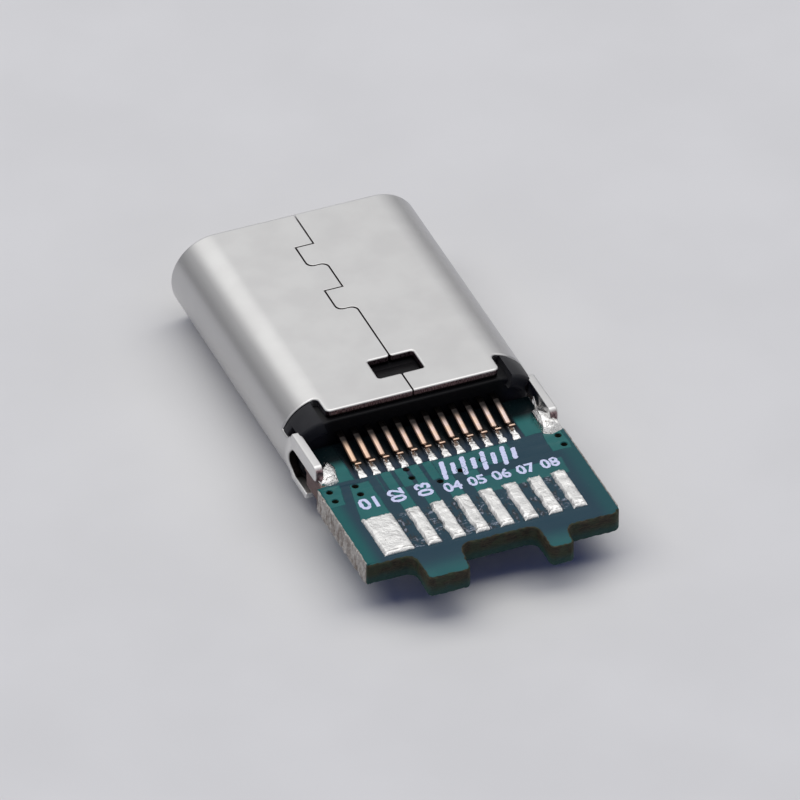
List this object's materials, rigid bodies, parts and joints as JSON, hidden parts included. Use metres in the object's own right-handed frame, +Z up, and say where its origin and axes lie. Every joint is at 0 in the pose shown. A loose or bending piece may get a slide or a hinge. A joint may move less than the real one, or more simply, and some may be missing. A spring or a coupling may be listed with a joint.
{
  "type": "usb-c breakout board",
  "caption": "Reversible USB-C plug socket in a rolled metal shell, clamped and soldered by two forked side arms on a short circuit board with solder pads for wires.",
  "frame": {"origin": "middle of the whole object's footprint, on the plane under the shell", "axes": "+Y out of the plug mouth, along the shell; +Z up, through the shell's seam; +X to the right when looking into the mouth's direction from the board"},
  "size_m": [0.009, 0.0188, 0.0032],
  "materials": {
    "nickel_plated_sheet": "satin nickel plate",
    "black_plastic": "moulded, satin",
    "gold_plated_copper": "bright, gold flash on copper alloy",
    "stainless_sheet": "stamped sheet",
    "green_solder_mask": "glossy solder mask on glass epoxy",
    "solder_tin": "bright, uneven tin"
  },
  "bodies": {
    "root": {"shell": "nickel_plated_sheet", "housing": "black_plastic", "contact_a01": "gold_plated_copper", "contact_a02": "gold_plated_copper", "contact_a03": "gold_plated_copper", "contact_a04": "gold_plated_copper", "contact_a05": "gold_plated_copper", "contact_a06": "gold_plated_copper", "contact_a07": "gold_plated_copper", "contact_a08": "gold_plated_copper", "contact_a09": "gold_plated_copper", "contact_a10": "gold_plated_copper", "contact_a11": "gold_plated_copper", "contact_a12": "gold_plated_copper", "contact_b01": "gold_plated_copper", "contact_b02": "gold_plated_copper", "contact_b03": "gold_plated_copper", "contact_b04": "gold_plated_copper", "contact_b05": "gold_plated_copper", "contact_b06": "gold_plated_copper", "contact_b07": "gold_plated_copper", "contact_b08": "gold_plated_copper", "contact_b09": "gold_plated_copper", "contact_b10": "gold_plated_copper", "contact_b11": "gold_plated_copper", "contact_b12": "gold_plated_copper", "mid_plate": "stainless_sheet", "ground_plate_top": "stainless_sheet", "ground_plate_bottom": "stainless_sheet", "board": "green_solder_mask", "wire_pad_top_1": "solder_tin", "wire_pad_top_2": "solder_tin", "wire_pad_top_3": "solder_tin", "wire_pad_top_4": "solder_tin", "wire_pad_top_5": "solder_tin", "wire_pad_top_6": "solder_tin", "wire_pad_top_7": "solder_tin", "wire_pad_top_8": "solder_tin", "wire_pad_bottom_1": "solder_tin", "wire_pad_bottom_2": "solder_tin", "wire_pad_bottom_3": "solder_tin", "wire_pad_bottom_4": "solder_tin", "wire_pad_bottom_5": "solder_tin", "wire_pad_bottom_6": "solder_tin", "wire_pad_bottom_7": "solder_tin", "wire_pad_bottom_8": "solder_tin", "arm_solder_top_left": "solder_tin", "arm_solder_top_right": "solder_tin", "arm_solder_bottom_left": "solder_tin", "arm_solder_bottom_right": "solder_tin", "edge_tin_left": "solder_tin", "edge_tin_right": "solder_tin"}
  },
  "joints": []
}
